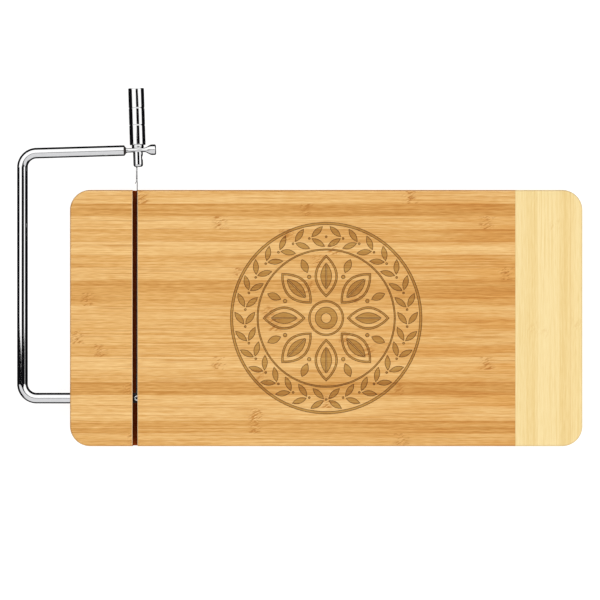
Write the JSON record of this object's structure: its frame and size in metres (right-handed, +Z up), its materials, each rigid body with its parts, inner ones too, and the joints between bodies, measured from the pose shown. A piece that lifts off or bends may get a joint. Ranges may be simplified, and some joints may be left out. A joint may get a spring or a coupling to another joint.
{
  "type": "cheese wire cutter",
  "caption": "Wooden cheese board with a cross slot and a swinging wire handle of bent round bar, whose turning grip tightens the wire.",
  "frame": {"origin": "on the plane the feet stand on, under the middle of the bounding box of the whole object with the handle down", "axes": "+X along the board towards the pale end band, +Y across the board towards the grip, +Z up"},
  "size_m": [0.3372, 0.2136, 0.023],
  "materials": {
    "caramel_bamboo": "oiled",
    "natural_bamboo": "oiled",
    "chrome": "polished",
    "stainless_steel": "drawn",
    "foot_rubber": "matte"
  },
  "bodies": {
    "board": {"board_panel": "caramel_bamboo", "board_end_band": "natural_bamboo", "foot_front_left": "foot_rubber", "foot_front_right": "foot_rubber", "foot_back_left": "foot_rubber", "foot_back_right": "foot_rubber", "foot_screw_front_left": "stainless_steel", "foot_screw_front_right": "stainless_steel", "foot_screw_back_left": "stainless_steel", "foot_screw_back_right": "stainless_steel"},
    "handle": {"handle_bar": "chrome", "wire_bead_lower": "stainless_steel", "cutting_wire": "stainless_steel"},
    "bolt": {"tension_bolt": "chrome", "wire_bead_upper": "stainless_steel"},
    "grip": {"grip": "chrome", "grip_washer": "chrome"}
  },
  "joints": [
    {"name": "handle_swing", "type": "hinge", "parent": "board", "child": "handle", "pos_m": [-0.09771, -0.07846, 0.0135], "axis": [1, 0, 0], "range_deg": [0, 180]},
    {"name": "grip_turn", "type": "hinge", "parent": "handle", "child": "grip", "pos_m": [-0.09641, 0.06979, 0.0135], "axis": [-0.0297, 0.9996, 0], "range_deg": [0, 1440]},
    {"name": "bolt_draw", "type": "slide", "parent": "handle", "child": "bolt", "axis": [0.0297, -0.9996, 0], "range_m": [0, 0.0032], "deforming": ["cutting_wire"]}
  ],
  "couplings": [
    {"joint": "bolt_draw", "follows": "grip_turn", "m_per_rad": 0.00012732}
  ]
}
